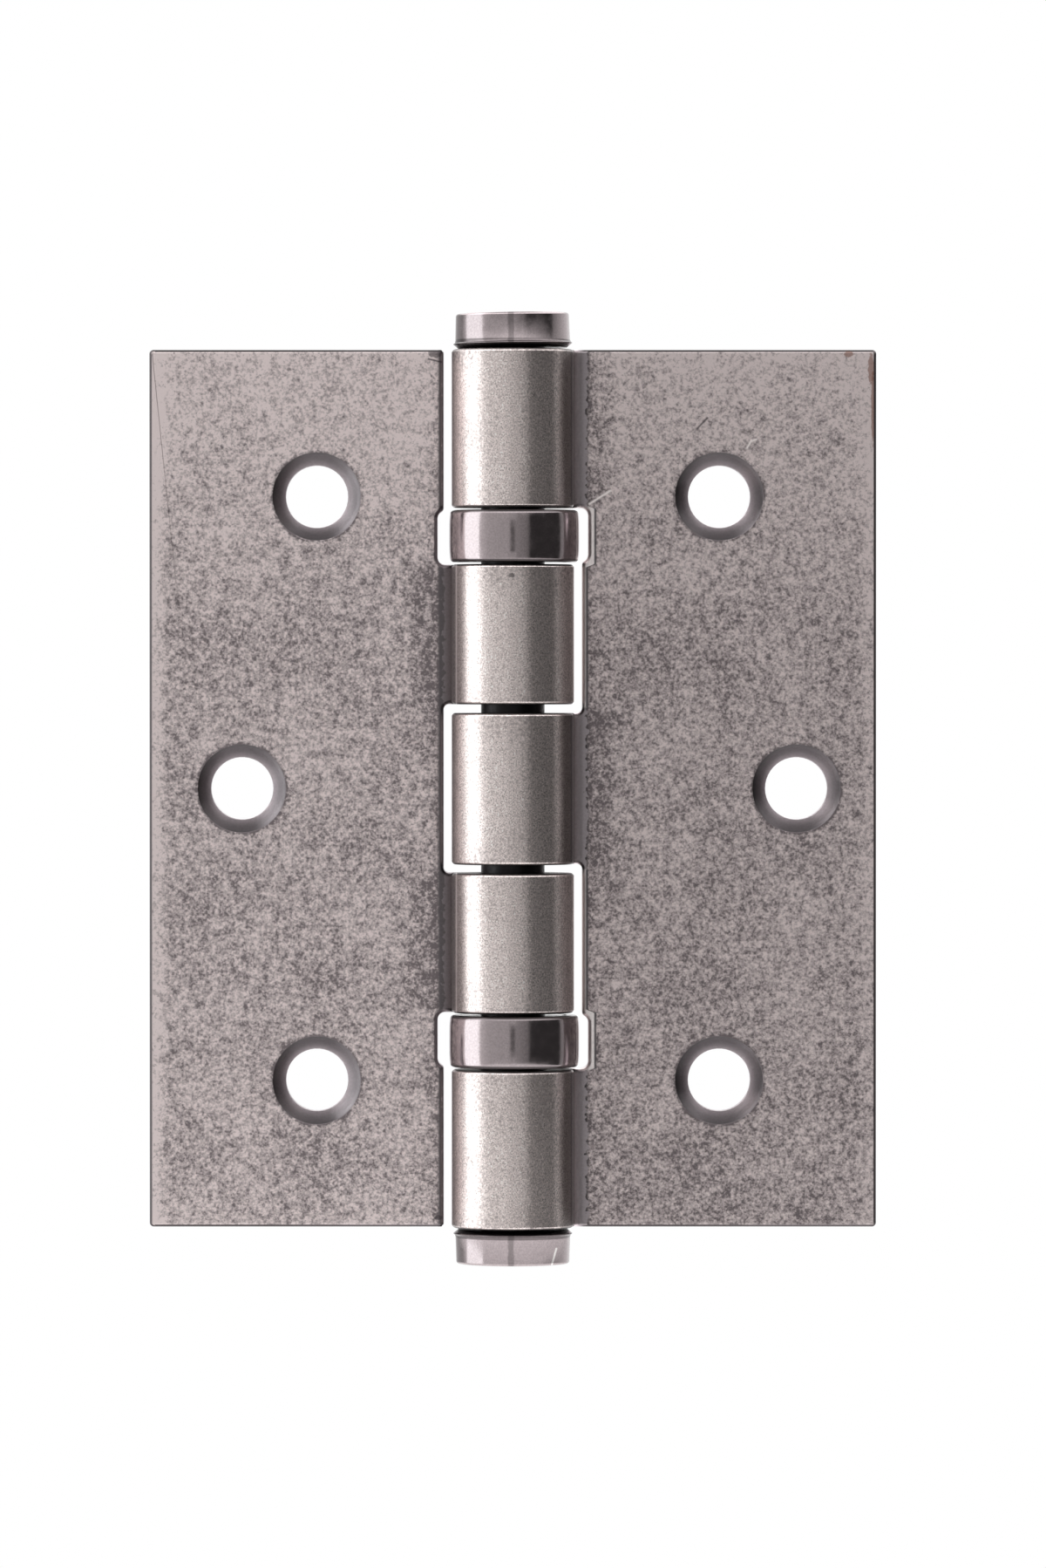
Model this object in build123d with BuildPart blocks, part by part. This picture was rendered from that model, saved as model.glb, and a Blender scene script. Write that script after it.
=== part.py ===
"""Ball bearing hinge: two steel leaves rolled round one pin, with a small ball thrust bearing
between the knuckles near each end and a turned button tip closing each end of the barrel.

The hinge lies open flat. The pin stands along Z with its middle at the origin, both leaves lie in
the XZ plane, and the front, where the barrel bulges out and the holes are countersunk, faces -Y.
The frame leaf is on the right, +X, with three knuckles. The door leaf is on the left with two.
"""

from build123d import *
import os
from math import acos, cos, degrees, radians, sin, tan

os.makedirs("parts", exist_ok=True)

# Sheet metal leaves
leaf_height = 76.0
open_width = 63.0
sheet = 2.5
closed_gap = 1.5
swage_angle = 20.5
swage_bend = 3.5
seam_gap = 0.15
seam_scarf = 20.0
plate_corner = 0.35
edge_break = 0.2
notch_roll = 0.4

# Pin and barrel
pin_radius = 2.75
pin_clearance = 0.05
pin_chamfer = 0.3
centre_knuckle_length = 13.1
door_knuckle_length = 12.1
knuckle_gap = 0.75

# Notches in each leaf for the other leaf's knuckles and for the bearings
knuckle_notch_clearance = 0.7
bearing_notch_clearance = 0.9
bearing_notch_height = 4.65
notch_corner = 0.45
bearing_notch_corner = 0.65
step_round = 0.45
cut_margin = 1.0

# Screw holes, countersunk from the front
screw_hole_radius = 2.7
countersink_radius = 3.825
countersink_angle = 90.0
hole_spacing = 50.6
frame_hole_inset = 13.6
frame_middle_hole_inset = 6.9
door_hole_inset = 14.5
door_middle_hole_inset = 8.0

# Button tips
tip_radius = 4.97
tip_height = 3.3
tip_chamfer = 0.2
tip_lip_radius = 5.15
tip_lip_height = 0.5
tip_flare_height = 0.35
tip_seat_radius = 4.95
tip_stem_length = 6.0
tip_stem_clearance = 0.01
tip_stem_chamfer = 0.3

# Ball bearings
bearing_height = 4.5
bearing_gap = 0.2
shell_radius = 5.625
shell_wall = 0.45
shell_chamfer = 0.25
shell_lip_width = 0.625
race_bore_clearance = 0.1
race_shell_clearance = 0.1
race_lip_clearance = 0.02
hub_clearance = 0.1
ball_radius = 0.75
ball_count = 6
ball_clearance = 0.02
groove_angle = 120.0
race_spacing = 1.04
cage_thickness = 0.6
cage_clearance = 0.1
pocket_clearance = 0.05

# Section of a leaf, in the XY plane
bore_radius = pin_radius + pin_clearance
barrel_radius = bore_radius + sheet
front_face = closed_gap / 2
back_face = front_face + sheet
leaf_edge = open_width / 2
swage = radians(swage_angle)
wrap_start = 90 - swage_angle
bend_height = front_face + sheet / 2 + swage_bend
ramp_drop = (bore_radius + sheet / 2 + swage_bend) * cos(swage) - bend_height
flat_start = (bore_radius + sheet / 2 + swage_bend) * sin(swage) + ramp_drop / tan(swage)
wrap_end = 360 + wrap_start - degrees(acos((bore_radius - seam_gap) / barrel_radius))

# Heights along the barrel, above its middle
leaf_top = leaf_height / 2
centre_knuckle_top = centre_knuckle_length / 2
door_knuckle_bottom = centre_knuckle_top + knuckle_gap
door_knuckle_top = door_knuckle_bottom + door_knuckle_length
bearing_middle = door_knuckle_top + bearing_gap + bearing_height / 2
end_knuckle_bottom = door_knuckle_top + bearing_height + 2 * bearing_gap

# Reach of the notches from the pin axis
knuckle_notch = barrel_radius + knuckle_notch_clearance
bearing_notch = max(knuckle_notch, shell_radius + bearing_notch_clearance)
step_depth = bearing_notch - knuckle_notch
beyond_barrel = -shell_radius - cut_margin
beyond_leaf = leaf_top + cut_margin

# Inside of a bearing
shell_bore = shell_radius - shell_wall
shell_lip_radius = shell_bore - shell_lip_width
race_bore = pin_radius + race_bore_clearance
race_rim = shell_bore - race_shell_clearance
ball_pitch_radius = (race_bore + race_rim) / 2
race_face = race_spacing / 2
groove_bottom = (ball_radius + ball_clearance) / sin(radians(groove_angle / 2))
groove_half_width = (groove_bottom - race_face) * tan(radians(groove_angle / 2))
race_shoulder = bearing_height / 2 - shell_wall - race_lip_clearance
hub_radius = shell_lip_radius - hub_clearance

# Two lengths closer than this are the same
same = 0.001


def polar(radius, angle):
    """A point of the section at an angle from +X, seen down the pin."""
    return (radius * cos(radians(angle)), radius * sin(radians(angle)))


def upright(height, side=1):
    """The XZ plane at a height on the pin, with its own Y pointing up, or down when side is -1."""
    return Plane((0, 0, height), x_dir=(1, 0, 0), z_dir=(0, -side, 0))


def sheet_section():
    """One sheet in section: flat plate, swaged ramp behind the pin, and the curl round the bore."""
    with BuildSketch(Plane.XY.offset(-leaf_top)) as section:
        with BuildLine():
            Line((leaf_edge, front_face), (leaf_edge, back_face))
            Line((leaf_edge, back_face), (flat_start, back_face))
            back_bend = CenterArc(
                (flat_start, bend_height), swage_bend - sheet / 2, -90, -swage_angle
            )
            Line(back_bend @ 1, polar(barrel_radius, wrap_start))
            CenterArc((0, 0), barrel_radius, wrap_start, wrap_end - wrap_start)
            Line(polar(barrel_radius, wrap_end), polar(bore_radius, wrap_end + seam_scarf))
            CenterArc((0, 0), bore_radius, wrap_start, wrap_end + seam_scarf - wrap_start)
            front_bend = CenterArc(
                (flat_start, bend_height), swage_bend + sheet / 2, -90, -swage_angle
            )
            Line(front_bend @ 1, polar(bore_radius, wrap_start))
            Line((flat_start, front_face), (leaf_edge, front_face))
        make_face()
    return section.sketch


def leaf_blank():
    """Adds to a sketch the whole front of a leaf, from beyond the barrel to the leaf's edge."""
    with Locations(((beyond_barrel + leaf_edge) / 2, 0)):
        Rectangle(leaf_edge - beyond_barrel, leaf_height)


def open_space(reach, one_end, other_end, corner):
    """Takes out of a leaf's front the space between two heights, from the barrel to a reach."""
    with Locations(((beyond_barrel + reach) / 2, (one_end + other_end) / 2)):
        RectangleRounded(
            reach - beyond_barrel, abs(other_end - one_end), corner, mode=Mode.SUBTRACT
        )


def round_corners(outline, step_height):
    """Rounds the plate's corners and those where the bearings' deeper spaces begin."""
    corners = outline.vertices()
    fillet(corners.filter_by(lambda v: abs(v.X - leaf_edge) < same), plate_corner)
    if step_depth > same:
        steps = outline.vertices().filter_by(lambda v: abs(v.X - knuckle_notch) < same)
        fillet(steps.sort_by(lambda v: abs(abs(v.Y) - step_height))[:2], step_round)


def pierce(inset, middle_inset):
    """Three countersunk screw holes: two in line and one between them, nearer the leaf's edge."""
    for x, z in (
        (leaf_edge - inset, hole_spacing / 2),
        (leaf_edge - middle_inset, 0),
        (leaf_edge - inset, -hole_spacing / 2),
    ):
        with Locations(Plane((x, front_face, z), x_dir=(1, 0, 0), z_dir=(0, -1, 0))):
            CounterSinkHole(
                screw_hole_radius, countersink_radius, counter_sink_angle=countersink_angle
            )


def dress_edges(leaf):
    """Rounds the notches' front edges as the punch rolls them, and breaks the other edges."""
    lengthwise = leaf.edges().filter_by(Axis.Z)
    notch_edges = lengthwise.filter_by(lambda e: abs(e.center().X - knuckle_notch) < same)
    fillet(notch_edges.filter_by(lambda e: e.center().Y < back_face), notch_roll)
    edges = leaf.edges()
    plate_edges = edges.filter_by(Axis.Z).filter_by(lambda e: abs(e.center().X - leaf_edge) < same)
    knuckle_ends = edges.filter_by(GeomType.CIRCLE).filter_by(
        lambda e: abs(e.radius - barrel_radius) < same and abs(e.arc_center.X) < same
    )
    chamfer(plate_edges + knuckle_ends, edge_break)


# Frame leaf, with the centre knuckle and both end knuckles
with BuildPart() as frame_leaf:
    extrude(sheet_section(), amount=leaf_height)
    with BuildSketch(Plane.XZ) as frame_outline:
        leaf_blank()
        bearing_space_bottom = end_knuckle_bottom - bearing_notch_height
        for side in (1, -1):
            space_bottom = side * bearing_space_bottom
            open_space(knuckle_notch, side * centre_knuckle_top, side * bearing_middle, notch_corner)
            open_space(bearing_notch, space_bottom, side * end_knuckle_bottom, bearing_notch_corner)
        round_corners(frame_outline, bearing_space_bottom)
    extrude(amount=leaf_edge, both=True, mode=Mode.INTERSECT)
    pierce(frame_hole_inset, frame_middle_hole_inset)
    dress_edges(frame_leaf)

# Door leaf, with the two knuckles between them, rolled the other way round the same pin
with BuildPart() as door_leaf:
    extrude(sheet_section(), amount=leaf_height)
    with BuildSketch(Plane.XZ) as door_outline:
        leaf_blank()
        open_space(knuckle_notch, -door_knuckle_bottom, door_knuckle_bottom, notch_corner)
        bearing_space_top = door_knuckle_top + bearing_notch_height
        for side in (1, -1):
            space_top = side * bearing_space_top
            open_space(knuckle_notch, side * bearing_middle, side * beyond_leaf, notch_corner)
            open_space(bearing_notch, side * door_knuckle_top, space_top, bearing_notch_corner)
        round_corners(door_outline, bearing_space_top)
    extrude(amount=leaf_edge, both=True, mode=Mode.INTERSECT)
    pierce(door_hole_inset, door_middle_hole_inset)
    dress_edges(door_leaf)
    mirror(about=Plane.YZ, mode=Mode.REPLACE)

# Pin, held between the stems of the two tips
with BuildPart() as hinge_pin:
    Cylinder(pin_radius, 2 * (leaf_top - tip_stem_length))
    chamfer(hinge_pin.edges().filter_by(GeomType.CIRCLE), pin_chamfer)


def button_tip(side):
    """A turned cap with a flared skirt, on a stem that is pressed into an end knuckle."""
    stem_radius = bore_radius - tip_stem_clearance
    with BuildPart() as tip:
        with BuildSketch(upright(side * leaf_top, side)):
            with BuildLine():
                Polyline(
                    (0, -tip_stem_length),
                    (stem_radius - tip_stem_chamfer, -tip_stem_length),
                    (stem_radius, tip_stem_chamfer - tip_stem_length),
                    (stem_radius, 0),
                    (tip_seat_radius, 0),
                    (tip_lip_radius, tip_lip_height),
                    (tip_radius, tip_lip_height + tip_flare_height),
                    (tip_radius, tip_height - tip_chamfer),
                    (tip_radius - tip_chamfer, tip_height),
                    (0, tip_height),
                    close=True,
                )
            make_face()
        revolve(axis=Axis.Z)
    return tip.part


def bearing_shell(height):
    """A rolled ring with a lip turned in over each race."""
    outside = bearing_height / 2
    inside = outside - shell_wall
    with BuildPart() as shell:
        with BuildSketch(upright(height)) as profile:
            with BuildLine():
                Polyline(
                    (shell_lip_radius, -outside),
                    (shell_radius, -outside),
                    (shell_radius, outside),
                    (shell_lip_radius, outside),
                    (shell_lip_radius, inside),
                    (shell_bore, inside),
                    (shell_bore, -inside),
                    (shell_lip_radius, -inside),
                    close=True,
                )
            make_face()
            chamfer(profile.vertices().filter_by(lambda v: v.X > shell_radius - same), shell_chamfer)
        revolve(axis=Axis.Z)
    return shell.part


def bearing_race(height, side):
    """A race with a groove for the balls, and a hub that comes out through the shell's lip."""
    with BuildPart() as race:
        with BuildSketch(upright(height, side)):
            with BuildLine():
                Polyline(
                    (race_bore, race_face),
                    (ball_pitch_radius - groove_half_width, race_face),
                    (ball_pitch_radius, groove_bottom),
                    (ball_pitch_radius + groove_half_width, race_face),
                    (race_rim, race_face),
                    (race_rim, race_shoulder),
                    (hub_radius, race_shoulder),
                    (hub_radius, bearing_height / 2),
                    (race_bore, bearing_height / 2),
                    close=True,
                )
            make_face()
        revolve(axis=Axis.Z)
    return race.part


def ball_cage(height):
    """A flat ring that keeps the balls evenly spaced."""
    with BuildPart() as cage:
        with BuildSketch(Plane.XY.offset(height - cage_thickness / 2)):
            Circle(shell_bore - cage_clearance)
            Circle(race_bore + cage_clearance, mode=Mode.SUBTRACT)
            with PolarLocations(ball_pitch_radius, ball_count):
                Circle(ball_radius + pocket_clearance, mode=Mode.SUBTRACT)
        extrude(amount=cage_thickness)
    return cage.part


def ball(height, angle):
    """One ball on the pitch circle of the races."""
    with BuildPart(Plane.XY.offset(height)) as sphere:
        with Locations(polar(ball_pitch_radius, angle)):
            Sphere(ball_radius)
    return sphere.part


# Every piece by name
pieces = {
    "frame_leaf": frame_leaf.part,
    "door_leaf": door_leaf.part,
    "hinge_pin": hinge_pin.part,
    "top_tip": button_tip(1),
    "bottom_tip": button_tip(-1),
}
for place, side in (("upper", 1), ("lower", -1)):
    height = side * bearing_middle
    pieces[f"{place}_bearing_shell"] = bearing_shell(height)
    pieces[f"{place}_frame_race"] = bearing_race(height, side)
    pieces[f"{place}_door_race"] = bearing_race(height, -side)
    pieces[f"{place}_ball_cage"] = ball_cage(height)
    for number in range(ball_count):
        pieces[f"{place}_ball_{number + 1}"] = ball(height, number * 360 / ball_count)

for name, piece in pieces.items():
    piece.label = name
    export_step(piece, f"parts/{name}.step")
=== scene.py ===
"""Looks of the ball bearing hinge: dressed leaves, turned tips, bearing shells, finishes and studio.

Run as a script it builds everything once. Its operators can also be called one by one from the
sidebar of the 3D view. Every length is in metres unless a name or a docstring says millimetres.
"""

from dataclasses import dataclass
from math import cos, pi, radians, sin

import bpy
from bpy.props import FloatProperty, FloatVectorProperty, IntProperty, PointerProperty
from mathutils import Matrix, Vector


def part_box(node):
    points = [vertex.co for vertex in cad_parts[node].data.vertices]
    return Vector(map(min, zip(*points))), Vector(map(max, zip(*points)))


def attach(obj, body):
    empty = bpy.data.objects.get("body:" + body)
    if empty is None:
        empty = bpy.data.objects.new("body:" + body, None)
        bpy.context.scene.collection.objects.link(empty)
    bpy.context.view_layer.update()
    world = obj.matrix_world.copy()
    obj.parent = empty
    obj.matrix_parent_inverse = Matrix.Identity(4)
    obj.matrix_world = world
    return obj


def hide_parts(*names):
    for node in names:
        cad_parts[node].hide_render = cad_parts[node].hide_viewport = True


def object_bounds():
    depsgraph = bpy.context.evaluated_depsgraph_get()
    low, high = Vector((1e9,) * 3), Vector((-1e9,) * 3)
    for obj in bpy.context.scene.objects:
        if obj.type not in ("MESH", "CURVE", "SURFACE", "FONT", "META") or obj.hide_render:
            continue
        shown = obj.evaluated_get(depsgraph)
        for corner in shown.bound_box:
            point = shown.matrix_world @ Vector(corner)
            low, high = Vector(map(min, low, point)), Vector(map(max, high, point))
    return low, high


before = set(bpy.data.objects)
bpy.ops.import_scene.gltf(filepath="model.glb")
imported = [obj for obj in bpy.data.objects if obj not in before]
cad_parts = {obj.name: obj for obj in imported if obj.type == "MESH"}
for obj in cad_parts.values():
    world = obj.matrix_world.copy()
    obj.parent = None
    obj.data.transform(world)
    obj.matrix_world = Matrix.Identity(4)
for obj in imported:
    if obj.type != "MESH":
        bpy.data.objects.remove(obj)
cad_low, cad_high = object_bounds()

bl_info = {
    "name": "Ball Bearing Hinge",
    "version": (1, 0, 0),
    "blender": (4, 5, 0),
    "location": "3D View > Sidebar > Hinge",
    "description": "Dresses the leaves, tips and bearings of a door hinge and lights them",
    "category": "Object",
}

mm = 0.001
merge_distance = 0.002 * mm
flat_within = radians(0.5)

# Places that the finishes share with the frame, in millimetres
leaf_low, leaf_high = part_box("frame_leaf")
leaf_reach_mm = leaf_high.x / mm
leaf_half_height_mm = leaf_high.z / mm
barrel_radius_mm = -leaf_low.y / mm
front_face_mm = 0.75
sheet_mm = 2.5
back_face_mm = front_face_mm + sheet_mm
hole_height_mm = 25.3
sink_radius_mm = 3.825
sink_depth_mm = 1.0
middle_knuckle_end_mm = 6.55
door_knuckle_low_mm = 7.3
door_knuckle_high_mm = 19.4
end_knuckle_start_mm = 24.3
shell_low, shell_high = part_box("upper_bearing_shell")
shell_middle_mm = (shell_low.z + shell_high.z) / 2 / mm
shell_half_height_mm = (shell_high.z - shell_low.z) / 2 / mm


def length(title, about, value_mm):
    """A length that can be changed, given in millimetres."""
    return FloatProperty(name=title, description=about, default=value_mm * mm, unit="LENGTH")


def paint(title, about, value):
    """A colour that can be changed."""
    return FloatVectorProperty(name=title, description=about, default=value, subtype="COLOR")


class HingeShape(bpy.types.PropertyGroup):
    """Sizes of what is added to the plain construction."""

    edge_rounding: length("Edge Rounding", "Radius left on every edge of the leaves by tumbling", 0.07)
    shell_rounding: length("Shell Rounding", "Radius at the two outer corners of a bearing shell", 0.32)
    shell_crown: length(
        "Shell Crown", "How far the side of a bearing shell falls away towards its corners", 0.07
    )
    shell_play: length(
        "Shell Play", "How far the loose bearing shells lie to the right of the pin", 0.12
    )
    shell_wall: length("Shell Wall", "Thickness of the sheet that a bearing shell is rolled from", 0.45)
    shell_lip_radius: length(
        "Shell Lip Radius", "Radius of the opening in each end of a bearing shell", 4.55
    )
    tip_seat_radius: length("Tip Seat Radius", "Radius of a tip where it sits on its knuckle", 4.7)
    tip_waist_radius: length("Tip Waist Radius", "Radius of a tip just above its flared lip", 4.97)
    tip_cap_radius: length("Tip Cap Radius", "Radius of a tip at its end", 4.9)
    tip_lip_height: length("Tip Lip Height", "Height of the lip above the knuckle", 0.5)
    tip_flare_height: length("Tip Flare Height", "Height over which the lip runs back to the cap", 0.3)
    tip_lean: FloatProperty(
        name="Tip Lean",
        description="Angle at which the top tip was pressed in crooked",
        default=radians(0.9),
        subtype="ANGLE",
    )
    tip_press: length("Tip Press", "How much lower a tip ends than the plain construction", 0.19)
    tip_rounding: length("Tip Rounding", "Radius at the end of a tip", 0.22)
    stem_radius: length("Stem Radius", "Radius of a tip's stem inside its knuckle", 2.79)
    stem_chamfer: length("Stem Chamfer", "Chamfer at the end of a tip's stem", 0.3)
    lip_rounding: length("Lip Rounding", "Radius at the edges of a bearing shell's lips", 0.05)
    round_steps: IntProperty(
        name="Steps Round",
        description="Faces round each turned piece",
        default=128,
        min=24,
    )


class HingeFinish(bpy.types.PropertyGroup):
    """Colours and textures of the metals."""

    plating_light: paint(
        "Plating Light", "Plating where tumbling has rubbed it bright", (0.78, 0.68, 0.67)
    )
    plating_dark: paint(
        "Plating Dark", "Plating where the dark antique film is left", (0.165, 0.14, 0.145)
    )
    plating_sheltered: paint(
        "Plating Sheltered",
        "Smooth plating in the countersinks and beside the barrel",
        (0.28, 0.25, 0.26),
    )
    barrel_worn: paint("Barrel Worn", "Knuckles rubbed bright", (0.82, 0.725, 0.7))
    polished: paint("Polished", "Polished plating of the tips and bearing shells", (0.5, 0.43, 0.44))
    # The pin's near black stands partly for oily steel and partly for painted shade in the gaps between
    # the knuckles
    pin_steel: paint("Pin Steel", "Oily dark steel of the pin", (0.035, 0.033, 0.034))
    bearing_steel: paint("Bearing Steel", "Ground steel of the races and balls", (0.62, 0.62, 0.61))
    cage_brass: paint("Cage Brass", "Sheet brass of the ball cages", (0.78, 0.57, 0.26))
    grain: FloatProperty(
        name="Grain",
        description="Size of the specks in the plating, in millimetres",
        default=0.28,
    )
    cloud: FloatProperty(
        name="Cloud",
        description="Size of the light and dark clouds in the plating, in millimetres",
        default=7.0,
    )


class HingeStudio(bpy.types.PropertyGroup):
    """Camera, lamps and floor."""

    camera_distance: length("Camera Distance", "From the camera to the pin", 816)
    camera_height: length("Camera Height", "Height of the camera above the middle of the hinge", 9.86)
    lens: FloatProperty(
        name="Lens",
        description="Focal length in millimetres, with the sensor's long side upright",
        default=216.4,
    )
    aim_x: length("Aim Across", "Point that the camera looks at, to the right of the pin", 0.88)
    aim_z: length("Aim Up", "Point that the camera looks at, above the middle of the hinge", 0.4)
    softbox_place: FloatVectorProperty(
        name="Softbox Place",
        description="Middle of the large softbox on the left",
        subtype="TRANSLATION",
        default=(-170 * mm, -12 * mm, 0),
    )
    softbox_width: length("Softbox Width", "Width of the softbox", 137)
    softbox_height: length("Softbox Height", "Height of the softbox", 500)
    softbox_tint: FloatVectorProperty(
        name="Softbox Tint",
        description="Colour of the softbox's light",
        subtype="COLOR",
        max=2.0,
        default=(0.93, 1.0, 1.01),
    )
    softbox_radiance: FloatProperty(
        name="Softbox Brightness",
        description="Brightness of the softbox",
        default=1.2,
    )
    ceiling_radiance: FloatProperty(
        name="Ceiling",
        description="Brightness of the room above the hinge, which lights the plates",
        default=2.0,
    )
    ground_radiance: FloatProperty(
        name="Ground",
        description="Brightness of the room below the hinge",
        default=1.45,
    )
    floor_radius: length("Floor Radius", "Radius of the round floor", 250)
    floor_drop: length("Floor Drop", "Distance from the lower tip to the floor", 50)


# Editing


def deselect_all():
    """Leaves nothing selected and nothing being edited."""
    if bpy.context.object and bpy.context.object.mode != "OBJECT":
        bpy.ops.object.mode_set(mode="OBJECT")
    bpy.ops.object.select_all(action="DESELECT")


def activate(piece):
    """Makes one piece the only one that is selected and active."""
    deselect_all()
    piece.select_set(True)
    bpy.context.view_layer.objects.active = piece


def open_mesh(piece):
    """Starts editing a piece with nothing in it selected."""
    activate(piece)
    bpy.ops.object.mode_set(mode="EDIT")
    bpy.ops.mesh.select_all(action="DESELECT")


def copy_of(piece, name):
    """A copy of a piece under a new name, with its own mesh."""
    twin = bpy.data.objects.new(name, piece.data.copy())
    bpy.context.scene.collection.objects.link(twin)
    return twin


def shift(piece, by):
    """Moves a whole mesh, so that its object stays at the origin."""
    open_mesh(piece)
    bpy.ops.mesh.select_all(action="SELECT")
    bpy.ops.transform.translate(value=by)
    bpy.ops.object.mode_set(mode="OBJECT")


def tilt(piece, angle, axis, centre):
    """Turns a whole mesh about a point, so that its object stays unturned."""
    open_mesh(piece)
    bpy.ops.mesh.select_all(action="SELECT")
    bpy.ops.transform.rotate(value=angle, orient_axis=axis, center_override=centre)
    bpy.ops.object.mode_set(mode="OBJECT")


def add_modifier(piece, kind, **settings):
    """Adds a modifier to a piece and applies it."""
    activate(piece)
    bpy.ops.object.modifier_add(type=kind)
    modifier = piece.modifiers[-1]
    for name, value in settings.items():
        setattr(modifier, name, value)
    bpy.ops.object.modifier_apply(modifier=modifier.name)


def round_edges(piece, radius):
    """Rounds every edge that turns by more than 30 degrees, and shades the piece smooth."""
    add_modifier(
        piece,
        "BEVEL",
        width=radius,
        segments=3,
        limit_method="ANGLE",
        angle_limit=radians(30),
        use_clamp_overlap=False,
        miter_outer="MITER_ARC",
    )
    bpy.ops.object.shade_smooth_by_angle(angle=radians(60))
    add_modifier(piece, "WEIGHTED_NORMAL", mode="FACE_AREA", keep_sharp=True)


def settle(piece, name, body, material, slot, *nodes):
    """Names a finished piece, gives it its finish and lets it stand for nodes of a body."""
    activate(piece)
    bpy.ops.object.transform_apply(location=True, rotation=True, scale=True)
    piece.name = name
    piece.data.name = name
    piece.data.materials.clear()
    piece.data.materials.append(material)
    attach(piece, body)
    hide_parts(*nodes)


# Shader nodes


def place(tree, kind, settings=None, **inputs):
    """Adds a node, with its own settings and with values or links for its named inputs."""
    made = tree.nodes.new(kind)
    for name, value in (settings or {}).items():
        setattr(made, name, value)
    for name, value in inputs.items():
        key = int(name[1:]) if name[1:].isdigit() else name.replace("_", " ")
        socket = made.inputs[key]
        if isinstance(value, bpy.types.NodeSocket):
            tree.links.new(value, socket)
        else:
            socket.default_value = value
    return made


def calc(tree, operation, first, second=0.0, third=0.0):
    """Adds a Math node and returns its result."""
    made = place(tree, "ShaderNodeMath", {"operation": operation}, _0=first, _1=second, _2=third)
    return made.outputs[0]


def product(tree, first, *others):
    """Multiplies values."""
    for other in others:
        first = calc(tree, "MULTIPLY", first, other)
    return first


def total(tree, first, *others):
    """Adds values."""
    for other in others:
        first = calc(tree, "ADD", first, other)
    return first


def less(tree, first, second):
    """Takes the second value from the first."""
    return calc(tree, "SUBTRACT", first, second)


def unsigned(tree, value):
    """A value without its sign."""
    return calc(tree, "ABSOLUTE", value)


def distance(tree, one, other):
    """How far a point is away, from two offsets at right angles."""
    squares = calc(tree, "MULTIPLY_ADD", one, one, product(tree, other, other))
    return calc(tree, "SQRT", squares)


def spread(tree, value, low, high, to_low=0.0, to_high=1.0, smooth=True):
    """Maps a value from one range to another, held at the ends."""
    made = place(
        tree,
        "ShaderNodeMapRange",
        {"interpolation_type": "SMOOTHSTEP" if smooth else "LINEAR"},
        Value=value,
        From_Min=low,
        From_Max=high,
        To_Min=to_low,
        To_Max=to_high,
    )
    return made.outputs["Result"]


def between(tree, value, low_start, low_end, high_start, high_end):
    """1 where a value lies between two others, running out at both ends."""
    rising = spread(tree, value, low_start, low_end)
    falling = spread(tree, value, high_start, high_end, 1.0, 0.0)
    return product(tree, rising, falling)


def near(tree, value, full, gone):
    """1 where a value is near zero, running out between two distances from it."""
    return spread(tree, unsigned(tree, value), full, gone, 1.0, 0.0)


def blend_values(tree, share, first, second):
    """Mixes two values."""
    return total(tree, product(tree, first, less(tree, 1.0, share)), product(tree, share, second))


def blend_colours(tree, share, first, second):
    """Mixes two colours."""
    made = tree.nodes.new("ShaderNodeMix")
    made.data_type = "RGBA"
    for socket, value in ((made.inputs[0], share), (made.inputs[6], first), (made.inputs[7], second)):
        if isinstance(value, bpy.types.NodeSocket):
            tree.links.new(value, socket)
        elif socket.type == "RGBA":
            socket.default_value = (*value, 1)
        else:
            socket.default_value = value
    return made.outputs[2]


def scaled(tree, colour, share):
    """Makes a colour lighter or darker."""
    made = place(tree, "ShaderNodeVectorMath", {"operation": "SCALE"}, Vector=colour, Scale=share)
    return made.outputs[0]


def noise(tree, place_mm, size, detail=2.0, roughness=0.5):
    """Noise whose features are about size millimetres across."""
    made = place(
        tree,
        "ShaderNodeTexNoise",
        Vector=place_mm,
        Scale=1 / size,
        Detail=detail,
        Roughness=roughness,
    )
    return made.outputs[0]


def place_in_mm(tree):
    """The place on the piece, in millimetres."""
    where = tree.nodes.new("ShaderNodeTexCoord").outputs["Object"]
    return scaled(tree, where, 1 / mm)


def separate(tree, where):
    """How far a place lies across, into the picture and up."""
    return place(tree, "ShaderNodeSeparateXYZ", Vector=where).outputs


def new_group(name, inputs, outputs):
    """An empty node group with named number inputs and outputs, apart from its Place vector."""
    group = bpy.data.node_groups.new(name, "ShaderNodeTree")
    group.interface.new_socket("Place", in_out="INPUT", socket_type="NodeSocketVector")
    for title, default in inputs.items():
        socket = group.interface.new_socket(title, in_out="INPUT", socket_type="NodeSocketFloat")
        socket.default_value = default
    for title in outputs:
        group.interface.new_socket(title, in_out="OUTPUT", socket_type="NodeSocketFloat")
    given = group.nodes.new("NodeGroupInput").outputs
    return group, given, group.nodes.new("NodeGroupOutput").inputs


def use_group(tree, group, **inputs):
    """Places a node group in a tree and returns its outputs."""
    return place(tree, "ShaderNodeGroup", {"node_tree": group}, **inputs).outputs


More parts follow.
